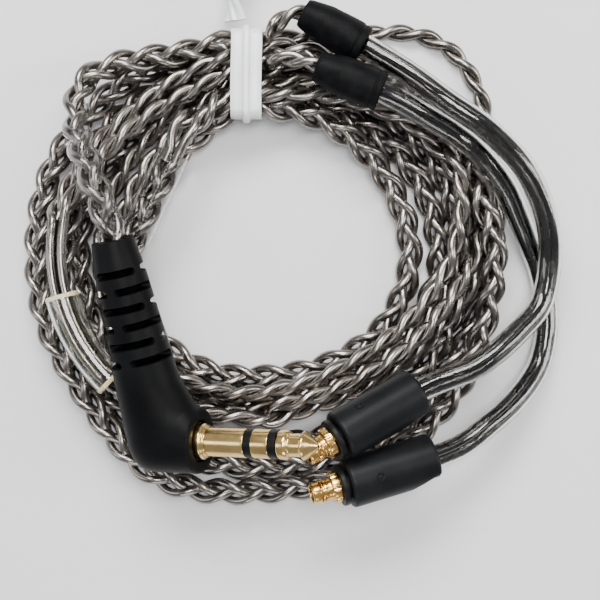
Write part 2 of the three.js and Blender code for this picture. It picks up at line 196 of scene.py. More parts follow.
pair_lines = {}
for ear, offset in [("right", 0.62), ("left", -0.62)]:
    first, second = pair_turns[ear]
    aside = np.array([-split_run[1], split_run[0], 0.0]) * offset
    out_of_split = [split_middle + split_run * a + aside * b for a, b in ((4.4, 0.9), (6.4, 1.0), (9.5, 1.7))]
    first_knots = [round_coil(30 * i, r, 5.4) for i, r in enumerate(first)]
    second_knots = [round_coil(360 + 30 * i, r, 5.4) for i, r in enumerate(second)]
    if ear == "right":
        loose = [(372, 28.6, 5.2), (384, 31.2, 3.8), (396, 35.6, 1.3), (406, 37.0, 1.1), (417, 35.2, 1.1)]
        second_knots[1:3] = [round_coil(*k) for k in loose + [(426, 32.4, 1.2), (438, 30.0, 1.6)]]
        ending = [(1.6, 29.2, 8.2), (2.7, 30.4, 8.3), (4.0, 31.0, 8.2), (5.6, 30.7, 8.2), (7.2, 29.8, 8.2)]
        last_tie = [round_coil(696, 25.6, 6.4), [-4.4, 26.4, 6.7], [-1.9, 27.4, 6.7], [0.1, 28.0, 6.75]]
    else:
        loose = [(375, 26.8, 5.4), (390, 29.4, 4.2), (405, 31.3, 2.2), (417, 32.8, 1.3), (428, 31.6, 1.4)]
        second_knots[1:3] = [round_coil(*k) for k in loose + [(438, 29.4, 2.6)]]
        ending = [(1.6, 25.3, 8.3), (3.3, 25.2, 9.3), (5.2, 24.7, 10.1), (7.4, 23.9, 10.5), (9.0, 23.2, 10.5)]
        last_tie = [round_coil(696, 23.4, 6.4), [-4.4, 24.0, 6.7], [-1.9, 24.7, 6.7], [-0.1, 25.1, 6.75]]
    arc = beside(slider_arc(np.arange(230, 164, -5)), offset)
    after = [round_coil(663, 25.2 + offset, 7.4), round_coil(680, 24.6 + offset, 6.6)]
    knots = out_of_split + first_knots + second_knots + list(arc) + after + last_tie + ending
    pair_lines[ear] = smooth_line(knots, spacing)


def settle(cords, radii, held, posts, rounds):
    """Lays the cords on each other. Every round a point moves a little towards its first place, towards
    the middle of its neighbours and down. Then points nearer than their two radii are pushed apart, and
    all are kept above the table, under the coil's top and inside the tie."""
    x = np.vstack([*cords, posts[:, :3]])
    start = x.copy()
    which = np.concatenate([np.full(len(c), i) for i, c in enumerate(cords)] + [np.full(len(posts), -1)])
    r = np.concatenate([np.full(len(c), radii[i]) for i, c in enumerate(cords)] + [posts[:, 3]])
    free = np.concatenate([*[~h for h in held], np.zeros(len(posts), bool)])
    place = np.arange(len(x))
    near = (which[:, None] == which) & (np.abs(place[:, None] - place) * spacing < 2.6 * r[:, None])
    reach = np.where(near | ((which < 0)[:, None] & (which < 0)), 0, r[:, None] + r)
    inner = (which >= 0) & (np.roll(which, 1) == which) & (np.roll(which, -1) == which)
    for turn in range(rounds):
        move = 0.06 * (start - x)
        move[:, 2] = 0.004 * (start - x)[:, 2] - 0.015
        bend = (np.roll(x, 1, 0) + np.roll(x, -1, 0)) / 2 - x
        move += 0.25 * np.where(inner[:, None], bend, 0)
        x = np.where(free[:, None], x + move, x)
        square = (x**2).sum(1)
        gap = np.sqrt(np.maximum(square[:, None] + square - 2 * x @ x.T, 1e-6))
        short = np.maximum(reach - gap, 0) / gap
        push = x * short.sum(1, keepdims=True) - short @ x
        x = np.where(free[:, None], x + push * [0.26, 0.26, 0.42], x)
        angle = np.degrees(np.arctan2(x[:, 1], x[:, 0]))
        neck = np.exp(-(((angle - 94) / 12) ** 2))
        low = 1.7 * neck + 0.98 * r
        high = np.where(free & (start[:, 2] < 6.2), 6.9 + 1.0 * neck - 0.98 * r, 40)
        x[:, 2] = np.where(free, np.clip(x[:, 2], low, np.maximum(low, high)), x[:, 2])
        tied = (which >= 0) & (np.abs(x[:, 0] + 1.9) < 3.0) & (x[:, 1] > 10)
        x[:, 1] = np.where(tied, np.clip(x[:, 1], 19.5 - 0.14 * x[:, 2] + r, 29.2 - r), x[:, 1])
        x[:, 2] = np.where(tied, np.minimum(x[:, 2], 7.75 - r), x[:, 2])
    ends = np.cumsum([0] + [len(c) for c in cords])
    return [x[a:b] for a, b in zip(ends[:-1], ends[1:])]


ear_tube_knots = {
    "right": [
        [10.0, 28.3, 8.2], [12.4, 27.0, 8.2], [17.7, 23.5, 9.5], [22.5, 19.9, 10.1], [26.9, 16.9, 10.0],
        [31.2, 12.9, 9.2], [33.8, 8.9, 7.8], [35.3, 4.6, 6.5], [35.6, 0.9, 5.5], [35.1, -2.8, 5.2],
        [34.0, -5.3, 5.7], [31.6, -7.8, 6.9], [28.9, -10.2, 8.1], [25.8, -12.3, 8.8], [22.4, -13.6, 9.2],
        [19.6, -14.7, 9.8], [17.6, -15.75, 10.3],
    ],
    "left": [
        [12.6, 21.8, 10.5], [15.0, 20.8, 10.3], [19.6, 18.6, 8.4], [23.3, 16.5, 7.7], [26.6, 13.9, 7.4],
        [29.9, 10.1, 6.0], [32.0, 6.2, 4.2], [33.5, 3.0, 2.8], [34.9, -0.2, 1.9], [35.7, -4.0, 1.8],
        [35.8, -7.8, 1.8], [35.0, -11.6, 2.2], [33.4, -14.3, 3.4], [31.0, -16.9, 5.0], [28.1, -19.2, 6.6],
        [24.8, -21.6, 7.7], [21.6, -22.92, 8.66], [19.0, -23.63, 9.27],
    ],
}
ear_tube_lines = {ear: smooth_line(k, spacing) for ear, k in ear_tube_knots.items()}
posts = np.vstack([np.column_stack([line, np.full(len(line), 1.5)]) for line in ear_tube_lines.values()])

lead_end = int(np.argmin(np.linalg.norm(braid_line - np.array([-20.4, 24.2, 7.6]), axis=1)))
number = np.arange(len(braid_line))
braid_held = (number < lead_end) | (np.linalg.norm(braid_line - split_middle, axis=1) < 9.5) & (number > 200)
pair_held = {}
for ear, line in pair_lines.items():
    n = np.arange(len(line))
    on_arc = np.abs(line[:, 2] - 8.25) < 0.05
    on_arc &= np.hypot(line[:, 0] + 3, line[:, 1] - 2) < 23.2
    on_arc &= np.hypot(line[:, 0] + 3, line[:, 1] - 2) > 20.8
    in_split = n < 5
    at_ear = n > len(line) - 8
    pair_held[ear] = on_arc | in_split | at_ear
braid_line, *settled = settle(
    [braid_line, pair_lines["right"], pair_lines["left"]],
    [1.5, 1.02, 1.02], [braid_held, pair_held["right"], pair_held["left"]], posts, 260,
)
pair_lines = dict(zip(["right", "left"], settled))


def spline_at(line, along, s):
    """Smooth curve through the line's points, read at the distances s: a Catmull-Rom between points."""
    i = np.clip(np.searchsorted(along, s, side="right") - 1, 0, len(line) - 2)
    t = ((s - along[i]) / (along[i + 1] - along[i]))[:, None]
    p = np.vstack([2 * line[0] - line[1], line, 2 * line[-1] - line[-2]])
    a, b, c, d = p[i], p[i + 1], p[i + 2], p[i + 3]
    return 0.5 * (2 * b + (c - a) * t + (2 * a - 5 * b + 4 * c - d) * t**2 + (3 * b - a - 3 * c + d) * t**3)


def lengths_of(line):
    """Distance along the line to each of its points."""
    return np.concatenate([[0], np.cumsum(np.linalg.norm(np.diff(line, axis=0), axis=1))])


def unit(vectors):
    """The vectors at length one."""
    return vectors / np.linalg.norm(vectors, axis=-1, keepdims=True)


def carried(line, step):
    """The line recut in short steps, with its distances, run, left-hand side and upward side."""
    along = lengths_of(line)
    s = np.linspace(0, along[-1], int(along[-1] / step) + 1)
    core = spline_at(line, along, s)
    run = unit(np.gradient(core, s, axis=0))
    left = unit(np.cross([0, 0, 1], run))
    return s, core, run, left, np.cross(run, left)


def net(rows, sides, joined=False, first=0):
    """Quads between rows of points, each row a ring, whose first point has the number `first`. The ends
    are capped, or joined to each other."""
    ring = np.arange(sides)
    start = np.arange(rows if joined else rows - 1)[:, None] * sides
    after = (start + sides) % (rows * sides)
    right = (ring + 1) % sides
    quads = np.stack([start + ring, start + right, after + right, after + ring], -1).reshape(-1, 4)
    caps = [] if joined else [(ring[::-1] + first).tolist(), (ring + (rows - 1) * sides + first).tolist()]
    return (quads + first).tolist() + caps


def strands(line, centres, radius, step, sides=12):
    """Closed tubes wound about a line. `centres(s)` gives each strand's place across the line, as
    distances to its left and upwards; each tube is a circle carried along that strand's own run."""
    s, core, run, left, up = carried(line, step)
    turn = np.linspace(0, 2 * np.pi, sides, endpoint=False)[:, None]
    vertices, faces = [], []
    for across, rise in centres(s):
        middle = core + across[:, None] * left + rise[:, None] * up
        way = unit(np.gradient(middle, axis=0))
        a = unit(np.cross(way, up))
        b = np.cross(way, a)
        tube = middle[:, None] + radius * (np.cos(turn) * a[:, None] + np.sin(turn) * b[:, None])
        faces += net(len(s), sides, first=len(vertices) * len(s) * sides)
        vertices.append(tube.reshape(-1, 3))
    lay = np.column_stack([np.repeat(s, sides), np.tile(turn[:, 0] / (2 * np.pi), len(s))])
    return np.vstack(vertices), faces, np.tile(lay, (len(vertices), 1)), core


def new_piece(name, vertices, faces, lay=None, crisp=40):
    """A smooth mesh object from points in millimetres about the coil's middle, its faces outwards and
    its edges sharp above `crisp` degrees. `lay` is its own UV: U along it in millimetres, V round it."""
    mesh = bpy.data.meshes.new(name)
    mesh.from_pydata(placed(vertices).tolist(), [], faces)
    if lay is not None:
        layer = mesh.uv_layers.new(name="lay")
        index = np.empty(len(mesh.loops), int)
        mesh.loops.foreach_get("vertex_index", index)
        layer.data.foreach_set("uv", np.asarray(lay)[index].ravel())
    shell = bmesh.new()
    shell.from_mesh(mesh)
    bmesh.ops.recalc_face_normals(shell, faces=shell.faces)
    shell.to_mesh(mesh)
    shell.free()
    mesh.polygons.foreach_set("use_smooth", np.ones(len(mesh.polygons), bool))
    mesh.set_sharp_from_angle(angle=math.radians(crisp))
    mesh.update()
    thing = bpy.data.objects.new(name, mesh)
    scene.collection.objects.link(thing)
    return thing


def finish_piece(thing, material, slot, *nodes, body="cable"):
    """Gives the piece its material and its body, and puts it in place of those CAD nodes. `slot` is not used.
    """
    thing.data.materials.append(material)
    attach(thing, body)
    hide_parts(*nodes)
    return thing


def surface(name, dark, light, patch, roughness, grain, height, **sockets):
    """A material whose colour wanders between two tones over patches of that size in millimetres. A
    finer grain, of its own size and height in millimetres, lifts the surface and varies its gloss."""
    made = bpy.data.materials.new(name)
    made.use_nodes = True
    nodes, links = made.node_tree.nodes, made.node_tree.links
    shade = nodes["Principled BSDF"]
    for socket, value in sockets.items():
        shade.inputs[socket.replace("_", " ")].default_value = value
    spot = nodes.new("ShaderNodeTexCoord")
    wander, fine = (nodes.new("ShaderNodeTexNoise") for _ in range(2))
    wander.name, fine.name = "wander", "grain"
    wander.inputs["Scale"].default_value = 1000 / patch
    fine.inputs["Scale"].default_value = 1000 / grain
    mix = nodes.new("ShaderNodeValToRGB")
    mix.name = "tones"
    mix.color_ramp.elements[0].position, mix.color_ramp.elements[1].position = 0.32, 0.68
    mix.color_ramp.elements[0].color, mix.color_ramp.elements[1].color = (*dark, 1), (*light, 1)
    gloss = nodes.new("ShaderNodeMapRange")
    gloss.name = "gloss"
    gloss.inputs["From Min"].default_value, gloss.inputs["From Max"].default_value = 0.3, 0.7
    gloss.inputs["To Min"].default_value, gloss.inputs["To Max"].default_value = roughness
    lift = nodes.new("ShaderNodeBump")
    lift.name = "lift"
    lift.inputs["Strength"].default_value = 1.0
    lift.inputs["Distance"].default_value = height / 1000
    for noise in (wander, fine):
        noise.inputs["Detail"].default_value = 4
        links.new(spot.outputs["Object"], noise.inputs["Vector"])
    links.new(wander.outputs["Fac"], mix.inputs["Fac"])
    links.new(mix.outputs["Color"], shade.inputs["Base Color"])
    links.new(fine.outputs["Fac"], gloss.inputs["Value"])
    links.new(gloss.outputs["Result"], shade.inputs["Roughness"])
    links.new(fine.outputs["Fac"], lift.inputs["Height"])
    links.new(lift.outputs["Normal"], shade.inputs["Normal"])
    return made


def ridges(material, along, around, height, dark):
    """Adds fine lines to the material that follow the piece's own UV, `along` to the millimetre and
    `around` to the turn. They lift the surface and darken it between them."""
    nodes, links = material.node_tree.nodes, material.node_tree.links
    shade = nodes["Principled BSDF"]
    lay = nodes.new("ShaderNodeUVMap")
    lay.uv_map = "lay"
    phase = nodes.new("ShaderNodeVectorMath")
    phase.operation = "DOT_PRODUCT"
    phase.inputs[1].default_value = (2 * math.pi * along, 2 * math.pi * around, 0)
    line = nodes.new("ShaderNodeMath")
    line.operation = "SINE"
    level = nodes.new("ShaderNodeMapRange")
    level.inputs["From Min"].default_value = -1.0
    tint = nodes.new("ShaderNodeMapRange")
    tint.inputs["From Min"].default_value = -1.0
    tint.inputs["To Min"].default_value = dark
    shaded = nodes.new("ShaderNodeMix")
    shaded.data_type = "RGBA"
    shaded.blend_type = "MULTIPLY"
    shaded.inputs["Factor"].default_value = 1.0
    lift = nodes.new("ShaderNodeBump")
    lift.inputs["Strength"].default_value = 1.0
    lift.inputs["Distance"].default_value = height / 1000
    links.new(lay.outputs["UV"], phase.inputs[0])
    links.new(phase.outputs["Value"], line.inputs[0])
    links.new(line.outputs["Value"], level.inputs["Value"])
    links.new(line.outputs["Value"], tint.inputs["Value"])
    links.new(nodes["tones"].outputs["Color"], shaded.inputs["A"])
    links.new(tint.outputs["Result"], shaded.inputs["B"])
    links.new(shaded.outputs["Result"], shade.inputs["Base Color"])
    links.new(level.outputs["Result"], lift.inputs["Height"])
    links.new(nodes["lift"].outputs["Normal"], lift.inputs["Normal"])
    links.new(lift.outputs["Normal"], shade.inputs["Normal"])


# The strands are fine grey wires laid up in a helix under a thin clear skin that shines.
strand_metal = surface(
    "strand_metal", (0.15, 0.134, 0.12), (0.25, 0.227, 0.205), 6.0, (0.24, 0.36), 0.8, 0.004,
    Metallic=1.0, Coat_Weight=0.8, Coat_Roughness=0.12, Coat_IOR=1.5,
)
ridges(strand_metal, 0.4, 9, 0.004, 0.8)


def plait(s, period=8.2):
    """Round braid of four: two counter-turning pairs that pass through each other a quarter turn apart.
    One pair circles a centre to the left of the line, the other its mirror image to the right."""
    w = 2 * np.pi * s / period
    out = []
    for k in range(2):
        out.append((-0.45 + 0.72 * np.cos(w + np.pi * k), 0.85 * np.sin(w + np.pi * k)))
        out.append((0.45 - 0.72 * np.cos(w + np.pi * (k + 0.5)), 0.85 * np.sin(w + np.pi * (k + 0.5))))
    return out


def twist(s, straight, period=7.4):
    """Left-hand twisted pair: two strands on opposite sides of the line, one above the other on the
    straight stretches, where two pairs lie side by side inside a sleeve."""
    edges = np.array(sorted({0.0, s[-1], *np.ravel(straight)}))
    phase, total = [0.0], 0.0
    for a, b in zip(edges[:-1], edges[1:]):
        if not any(a >= low - 0.01 and b <= high + 0.01 for low, high in straight):
            total += np.pi * round(2 * (b - a) / period)
        phase.append(total)
    w = np.pi / 2 - np.interp(s, edges, phase)
    return [(0.54 * np.cos(w + np.pi * k), 0.54 * np.sin(w + np.pi * k)) for k in range(2)]


vertices, faces, lay, core = strands(braid_line, plait, 0.54, 0.42)
braid = finish_piece(
    new_piece("main_braid", vertices, faces, lay), strand_metal, "braid",
    "coil_bundle", "plug_lead", "y_split_lead",
)
for ear, line in pair_lines.items():
    along = lengths_of(line)
    in_slider = along[pair_held[ear] & (np.arange(len(line)) > 20) & (np.arange(len(line)) < len(line) - 12)]
    straight = [(0.0, 5.0), (in_slider[0] - 2.4, in_slider[-1])]
    vertices, faces, lay, core = strands(line, lambda s: twist(s, straight), 0.54, 0.4)
    pair = finish_piece(
        new_piece(f"pair_{ear}", vertices, faces, lay), strand_metal, "paired_wire",
        f"branch_{ear}", *(["slider_lead"] if ear == "right" else []),
    )

# ---- Twist tie --------------------------------------------------------------------------------------
# An extruded soft white ribbon with a steel wire in the raised rib along its middle. It's wrapped once
# round the bundle, and its two ends are twisted together above the coil and cut off straight.
tie_white = surface(
    "tie_white", (0.63, 0.65, 0.665), (0.73, 0.745, 0.755), 6.0, (0.3, 0.5), 0.35, 0.006,
    Coat_Weight=0.25, Coat_Roughness=0.25,
)
ridges(tie_white, 0.12, 11, 0.004, 0.97)


def rounded_loop(low, high, corner, count):
    """Points round a rectangle with rounded corners in the Y-Z plane, with the direction outwards."""
    turn = np.linspace(0, 2 * np.pi, count, endpoint=False) + np.pi / 4
    outward = np.stack([np.cos(turn), np.sin(turn)], -1)
    middle, reach = (np.add(low, high)) / 2, np.subtract(high, low) / 2 - corner
    soft = np.clip(outward * 1.9, -1, 1)
    return middle + reach * soft + corner * outward, outward


loop, outward = rounded_loop((18.4, 1.0), (29.25, 7.9), 2.0, 160)
loop[:, 0] += 0.95 * np.clip((7.2 - loop[:, 1]) / 6.2, 0, 1) * np.clip((24 - loop[:, 0]) / 5.6, 0, 1)
ribbon_width = 3.8
ribbon_section = np.array([
    (0.0, 0.08), (0.08, 0.0), (1.2, 0.0), (1.9, 0.0), (2.6, 0.0), (3.72, 0.0), (3.8, 0.08), (3.8, 0.27),
    (3.72, 0.35), (3.0, 0.36), (2.46, 0.37), (2.36, 0.44), (2.31, 0.66), (2.2, 0.8), (2.02, 0.87),
    (1.78, 0.87), (1.6, 0.8), (1.49, 0.66), (1.44, 0.44), (1.34, 0.37), (0.8, 0.36), (0.08, 0.35),
    (0.0, 0.27),
])
around = np.linspace(0, 1, len(loop), endpoint=False)
sway = 0.05 * np.sin(2 * np.pi * around * 2 + 1) + 0.03 * np.sin(2 * np.pi * around * 5)
ribbon = np.empty((len(loop), len(ribbon_section), 3))
ribbon[..., 0] = -ribbon_width + ribbon_section[:, 0] + sway[:, None]
ribbon[..., 1:] = loop[:, None] + outward[:, None] * ribbon_section[:, 1, None]
loop_length = 34
lay = np.column_stack([
    np.repeat(around * loop_length, len(ribbon_section)),
    np.tile(ribbon_section[:, 0] / ribbon_width, len(loop)),
])
finish_piece(
    new_piece("tie_band", ribbon.reshape(-1, 3), net(len(loop), len(ribbon_section), True), lay, 50),
    tie_white, "tie_plastic", "tie_ribbon", "tie_wire",
)

tail_line = smooth_line([[-3.3, 30.35, 6.4], [-3.5, 34, 5.6], [-3.0, 37.5, 4.8], [-2.8, 41, 4.2]], 1.0)
s, core, run, left, up = carried(tail_line, 0.25)
part = s / s[-1]
angle = np.radians(35 + 200 * part)
ply_section = np.array([
    (-1.0, 0.1), (-0.97, 0.0), (-0.5, 0.0), (0.0, 0.0), (0.5, 0.0), (0.97, 0.0), (1.0, 0.1), (1.0, 0.6),
    (0.97, 0.75), (0.5, 0.78), (0.27, 0.8), (0.22, 1.0), (0.16, 1.5), (0.08, 1.75), (-0.08, 1.75),
    (-0.16, 1.5), (-0.22, 1.0), (-0.27, 0.8), (-0.5, 0.78), (-0.97, 0.75), (-1.0, 0.6),
])
wide = np.stack([np.cos(angle), 0 * angle, np.sin(angle)], -1)
deep = np.stack([-np.sin(angle), 0 * angle, np.cos(angle)], -1)
for ply, way in (("front", 1), ("back", -1)):
    spread = way * (0.03 + 0.05 * np.sin(np.pi * part))
    across = 1.68 * ply_section[:, 0] * (1 if way > 0 else 0.96)
    depth = way * 0.33 * ply_section[:, 1] + spread[:, None]
    tail = core[:, None] + wide[:, None] * across[:, None] + deep[:, None] * depth[..., None]
    lay = np.column_stack([np.repeat(s, len(ply_section)), np.tile(ply_section[:, 0] / 2, len(s))])
    thing = new_piece(f"tie_tail_{ply}", tail.reshape(-1, 3), net(len(s), len(ply_section)), lay, 50)
    finish_piece(thing, tie_white, "tie_plastic", "tie_pigtail")

# ---- Plug -------------------------------------------------------------------------------------------
# Right-angled stereo plug. The body and its slotted strain relief are one black rubber moulding. The
# turned, gold-plated contacts stand in a dark mould ring in its face, with black rings between them.
black_rubber = surface(
    "black_rubber", (0.0016, 0.0017, 0.002), (0.0032, 0.0034, 0.0039), 4.0, (0.4, 0.54), 0.16, 0.01,
    Specular_IOR_Level=0.06,
)
gold = surface(
    "gold", (0.63, 0.43, 0.165), (0.77, 0.545, 0.225), 3.0, (0.17, 0.26), 0.6, 0.0008,
    Metallic=1.0, Coat_Weight=0.15, Coat_Roughness=0.12,
)
ridges(gold, 6.0, 0, 0.0008, 0.95)
# Painted shade in the slots: their floors are the same rubber as the boot, but get a darker, matt black of
# their own with almost no gloss.
painted_slot_shade = surface(
    "painted_slot_shade", (0.0006, 0.0006, 0.0006), (0.0014, 0.0014, 0.0014), 2.0, (0.7, 0.9), 0.2, 0.01,
    Specular_IOR_Level=0.01,
)
black_ring = surface(
    "black_ring", (0.003, 0.003, 0.003), (0.006, 0.0055, 0.0055), 1.0, (0.3, 0.45), 0.2, 0.004,
    Specular_IOR_Level=0.12,
)
steel = surface("steel", (0.42, 0.42, 0.43), (0.6, 0.6, 0.61), 1.0, (0.2, 0.35), 0.2, 0.003, Metallic=1.0)


def softened(profile, size, closed):
    """The profile with each corner replaced by a short curve."""
    p = np.asarray(profile, float)
    before, after = np.roll(p, 1, 0), np.roll(p, -1, 0)
    out = []
    for i, corner in enumerate(p):
        if not closed and i in (0, len(p) - 1):
            out.append(corner)
            continue
        a, b = before[i] - corner, after[i] - corner
        a *= min(size, 0.4 * np.hypot(*a)) / np.hypot(*a)
        b *= min(size, 0.4 * np.hypot(*b)) / np.hypot(*b)
        out += [corner + (1 - t) ** 2 * a + t * t * b for t in (0, 0.25, 0.5, 0.75, 1)]
    return np.array(out)


def turned(profile, corner=0.06, sides=72, longest=0.5, shape=None, first=0):
    """A body turned about X from a profile of (along, radius), its corners softened and its long
    stretches cut up. It is solid if the profile starts and ends on the axis, otherwise a ring.
    `shape(along, angle, radius)` may alter the radius. Gives its points, its faces (their points
    counted from `first`) and its lay."""
    closed = profile[0][1] > 0
    soft = softened(profile, corner, closed)
    if closed:
        soft = np.vstack([soft, soft[:1]])
    cut = [soft[:1]]
    for a, b in zip(soft[:-1], soft[1:]):
        count = max(1, math.ceil(np.hypot(*(b - a)) / longest))
        cut.append(a + (b - a) * np.linspace(0, 1, count + 1)[1:, None])
    soft = np.vstack(cut)[:-1] if closed else np.vstack(cut)
    soft[:, 1] = np.maximum(soft[:, 1], 0.012)
    angle = np.linspace(0, 2 * np.pi, sides, endpoint=False)
    x, r = np.broadcast_arrays(soft[:, :1], soft[:, 1:] + 0 * angle)
    if shape:
        r = shape(x, angle, r)
    points = np.stack([x, r * np.cos(angle), r * np.sin(angle)], -1).reshape(-1, 3)
    lay = np.column_stack([x.ravel() + r.ravel(), np.tile(angle / (2 * np.pi), len(soft))])
    return points, net(len(soft), sides, closed, first), lay


rails = np.array([
    [-11.22, 24.2, -6.27, 24.9, 2.5], [-11.19, 20.4, -5.25, 21.2, 3.0], [-10.8, 15.1, -4.18, 16.0, 3.36],
    [-10.4, 9.8, -3.1, 10.8, 3.7], [-10.0, 5.0, -2.5, 8.2, 3.8], [-9.6, 1.2, -1.9, 6.8, 3.85],
    [-9.2, -1.6, -1.4, 5.8, 3.9], [-8.2, -3.2, -1.0, 5.1, 3.9], [-6.4, -3.85, -0.7, 4.6, 3.9],
    [-3.2, -3.9, -0.35, 4.2, 3.9], [-0.5, -3.9, -0.06, 3.9, 3.9],
])
sides = 224
theta = np.linspace(0, 2 * np.pi, sides, endpoint=False)
place = np.arange(len(rails), dtype=float)
dense = spline_at(rails, place, np.linspace(0, len(rails) - 1, 400))
swing = (1 - np.cos(theta)) / 2
skin = np.stack([
    dense[:, :1] + (dense[:, 2:3] - dense[:, :1]) * swing,
    dense[:, 1:2] + (dense[:, 3:4] - dense[:, 1:2]) * swing,
    dense[:, 4:] * np.sin(theta),
], -1)
elbow = np.array([-5.3, 0, 0])
boot_side = np.array([boot_axis[1], -boot_axis[0], 0])
height = (skin - elbow) @ boot_axis
slot_middles = 21.0 - 2.12 * np.arange(6)
near_slot = np.array([
    -1.06, -0.8, -0.6, -0.52, -0.47, -0.43, -0.39, -0.33, -0.2,
    0, 0.2, 0.33, 0.39, 0.43, 0.47, 0.52, 0.6, 0.8,
])
levels = np.concatenate([m - near_slot for m in slot_middles] + [[8.9, 8.4, 7.9]])
entry = height[0] + (levels[0] - height[0]) * np.linspace(0, 1, 5, endpoint=False)[:, None]
level = np.vstack([entry, np.repeat(levels[:, None], sides, 1)])
column = np.arange(sides)
above = np.clip((height > level[:, None]).sum(1) - 1, 0, len(skin) - 2)
upper, lower = height[above, column], height[above + 1, column]
row_at = above + np.clip((upper - level) / (upper - lower), 0, 1)
# below the slots the rows follow the elbow round to the face
last = row_at[-1]
row_at = np.vstack([row_at, last + (len(skin) - 1 - last) * np.linspace(0, 1, 60)[1:, None]])
low = np.clip(row_at.astype(int), 0, len(skin) - 2)
share = (row_at - low)[..., None]
body = skin[low, column] * (1 - share) + skin[low + 1, column] * share
# the slots: three to a row, every other row turned by 77 degrees, their ends round
up_boot = (body - elbow) @ boot_axis
off_axis = body - elbow - up_boot[..., None] * boot_axis
wide = np.linalg.norm(off_axis, axis=-1)
phi = np.degrees(np.arctan2(off_axis @ boot_side, off_axis[..., 2]))
slot_half_span = math.radians(49)
slot_half_height = 0.42
slot_floor_radius = 1.95
cut = np.zeros(wide.shape)
for row, middle in enumerate(slot_middles):
    for turn in range(3):
        centre = turn * 120 + (15 if row % 2 == 0 else -62)
        swung = np.abs((phi - centre + 180) % 360 - 180)
        past_end = np.maximum((np.radians(swung) - slot_half_span) * wide + slot_half_height, 0)
        inside = slot_half_height - np.hypot(past_end, up_boot - middle)
        cut = np.maximum(cut, np.clip(inside / 0.08 + 0.5, 0, 1))
cut = cut * cut * (3 - 2 * cut)
shrink = slot_floor_radius / np.maximum(wide, slot_floor_radius)
hollow = elbow + up_boot[..., None] * boot_axis + off_axis * shrink[..., None]
body += (hollow - body) * cut[..., None]


def ring_at(x, radius):
    """A ring about the barrel's axis, in step with the skin's points."""
    return np.stack([x + 0 * theta, -radius * np.cos(theta), radius * np.sin(theta)], -1)


def ring_on_boot(up, radius):
    """A ring about the boot's axis, that far up from the elbow, in step with the skin's points."""
    across = radius * np.cos(theta)[:, None] * boot_side
    return elbow + boot_axis * up + across + radius * np.sin(theta)[:, None] * np.array([0, 0, 1])


lip = body[0] * 0.5 + ring_on_boot(24.75, 1.75) * 0.5
mouth = [ring_on_boot(14, 1.75), ring_on_boot(24.3, 1.75), ring_on_boot(24.65, 1.85), lip + boot_axis * 0.12]
face = [
    ring_at(-0.18, 3.86), ring_at(-0.04, 3.72), ring_at(0, 3.55), ring_at(0, 2.62), ring_at(-0.05, 2.52),
    ring_at(-0.2, 2.5), ring_at(-4.9, 2.5),
]
body = np.concatenate([np.array(mouth), body, np.array(face)])
boot = finish_piece(
    new_piece("boot_skin", on_plug(body.reshape(-1, 3)), net(len(body), sides)),
    black_rubber, "boot_rubber", "plug_boot",
)
# The faces deep in the slots take the painted slot shade as their second material.
boot.data.materials.append(painted_slot_shade)
slot_shade_faces = np.zeros(len(boot.data.polygons), int)
inside = (cut[:-1] + cut[1:] + np.roll(cut, -1, 1)[:-1] + np.roll(cut, -1, 1)[1:]) / 4 > 0.5
slot_shade_faces[len(mouth) * sides:(len(mouth) + len(inside)) * sides] = inside.ravel()
boot.data.polygons.foreach_set("material_index", slot_shade_faces)

plug_pieces = [
    ("plug_mould_ring", [(-4.7, 1.5), (-4.7, 2.3), (-0.35, 2.3), (-0.35, 1.5)],
     black_ring, "mould_plastic", "plug_inner_mould", 0.1),
    ("plug_sleeve", [(-4.4, 1.0), (-4.4, 1.3), (-0.2, 1.3), (-0.2, 2.15), (0.5, 2.15), (0.62, 1.95),
                     (0.9, 1.95), (0.95, 1.72), (1.1, 1.75), (6.0, 1.75), (6.0, 1.0)],
     gold, "gold_plate", "plug_sleeve_contact", 0.08),
    ("plug_low_ring", [(-4.2, 0.72), (-4.2, 0.93), (6.02, 0.93), (6.02, 1.72), (6.98, 1.72), (6.98, 0.72)],
     black_ring, "insulator_plastic", "plug_lower_insulator", 0.05),
    ("plug_ring", [(-4.8, 0.48), (-4.8, 0.66), (7.0, 0.66), (7.0, 1.75), (9.1, 1.75), (9.1, 0.48)],
     gold, "gold_plate", "plug_ring_contact", 0.06),
    ("plug_high_ring", [(9.13, 0.4), (9.13, 1.72), (10.07, 1.72), (10.07, 0.4)],
     black_ring, "insulator_plastic", "plug_upper_insulator", 0.05),
    ("plug_tip", [(12.0, 0), (12.0, 0.42), (10.1, 0.42), (10.1, 1.62), (10.3, 1.75), (11.1, 1.75),
                  (11.35, 1.62), (11.5, 1.34), (12.95, 1.38), (13.2, 1.72), (13.4, 1.7), (14.65, 0.58),
                  (14.9, 0.3), (14.92, 0)],
     gold, "gold_plate", "plug_tip_contact", 0.1),
]
for name, profile, material, slot_name, node, corner in plug_pieces:
    points, faces, lay = turned(profile, corner, longest=0.4)
    finish_piece(new_piece(name, on_plug(points), faces, lay), material, slot_name, node)
rod = bpy.data.objects["plug_centre_rod"]
rod.data.materials.clear()
rod.data.materials.append(steel)

# ---- Clear sleeves ----------------------------------------------------------------------------------
# Clear heat-shrink tube over the braid behind the plug, drawn down onto the strands, and a wider piece
# over the place where the braid divides. Their ends are cut straight and show a bright rim.
clear_skin = surface(
    "clear_skin", (0.84, 0.845, 0.85), (0.92, 0.92, 0.92), 3.0, (0.01, 0.05), 2.0, 0.004,
    Transmission_Weight=1.0, IOR=1.14,
)


